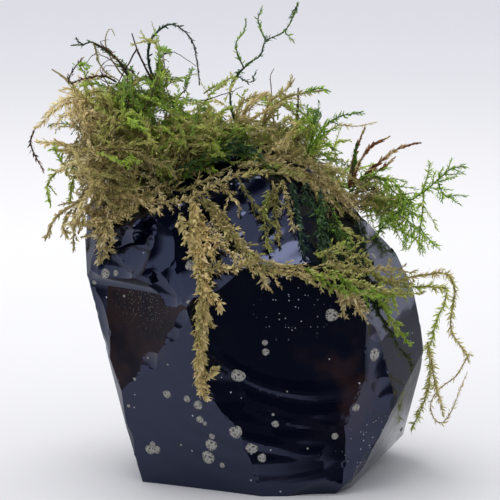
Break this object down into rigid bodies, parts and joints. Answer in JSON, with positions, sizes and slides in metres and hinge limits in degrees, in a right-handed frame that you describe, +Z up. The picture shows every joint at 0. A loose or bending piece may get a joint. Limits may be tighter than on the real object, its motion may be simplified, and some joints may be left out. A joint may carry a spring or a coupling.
{
  "type": "moss clump on an obsidian stone",
  "caption": "Feather moss draped over the top of a loose lump of obsidian, with shoots that hang, arch and trail from it, standing on the stone's flat base.",
  "frame": {"origin": "middle of the stone's flat base", "axes": "+Z up from the base, +Y from the broad glassy front face towards the back, +X to the right of the front face"},
  "size_m": [0.1101, 0.0627, 0.1187],
  "materials": {
    "obsidian": "glossy volcanic glass with grey spherulites",
    "green_moss": "soft living leaves, slightly translucent",
    "dark_green_moss": "soft living leaves in shade",
    "olive_moss": "soft ageing leaves",
    "tan_moss": "dry straw-coloured leaves",
    "rust_moss": "dry reddish-brown tips",
    "bare_stem": "thin wiry stems"
  },
  "bodies": {
    "root": {"arch_stem": "dark_green_moss", "back_drape": "green_moss", "back_strand_a": "green_moss", "back_strand_b": "olive_moss", "back_strand_c": "tan_moss", "back_strand_d": "green_moss", "brown_tuft": "tan_moss", "crown_rope": "tan_moss", "crown_tangle": "olive_moss", "curled_stem": "bare_stem", "dark_drape_a": "dark_green_moss", "dark_drape_b": "dark_green_moss", "dark_drape_c": "dark_green_moss", "dark_drape_d": "dark_green_moss", "dark_stem": "bare_stem", "dark_upright": "bare_stem", "dark_wire": "bare_stem", "diagonal_strand": "tan_moss", "edge_strip": "olive_moss", "forked_twig": "bare_stem", "front_rope": "tan_moss", "golden_cushion": "tan_moss", "green_arch": "green_moss", "green_sprig": "dark_green_moss", "green_streamer": "green_moss", "green_tuft": "green_moss", "green_upright": "green_moss", "hanging_strand": "tan_moss", "leafy_drop": "green_moss", "left_drape": "olive_moss", "left_tassel": "olive_moss", "loop_inner": "green_moss", "loop_outer": "olive_moss", "pale_plume": "olive_moss", "red_thread": "rust_moss", "right_tangle": "green_moss", "rust_tip_a": "rust_moss", "rust_tip_b": "rust_moss", "rust_tip_c": "rust_moss", "short_drop": "green_moss", "shoulder_strand": "olive_moss", "spray_a": "green_moss", "spray_b": "green_moss", "spray_c": "green_moss", "spray_side": "green_moss", "stone": "obsidian", "straw": "tan_moss", "tan_arch": "tan_moss", "tan_bar": "tan_moss", "tan_branch": "tan_moss", "tan_tip": "tan_moss", "tan_under_arch": "tan_moss", "thin_loop_a": "olive_moss", "thin_loop_b": "olive_moss", "top_twig": "dark_green_moss", "twig_fork_left": "green_moss", "twig_fork_middle": "green_moss"}
  },
  "joints": []
}
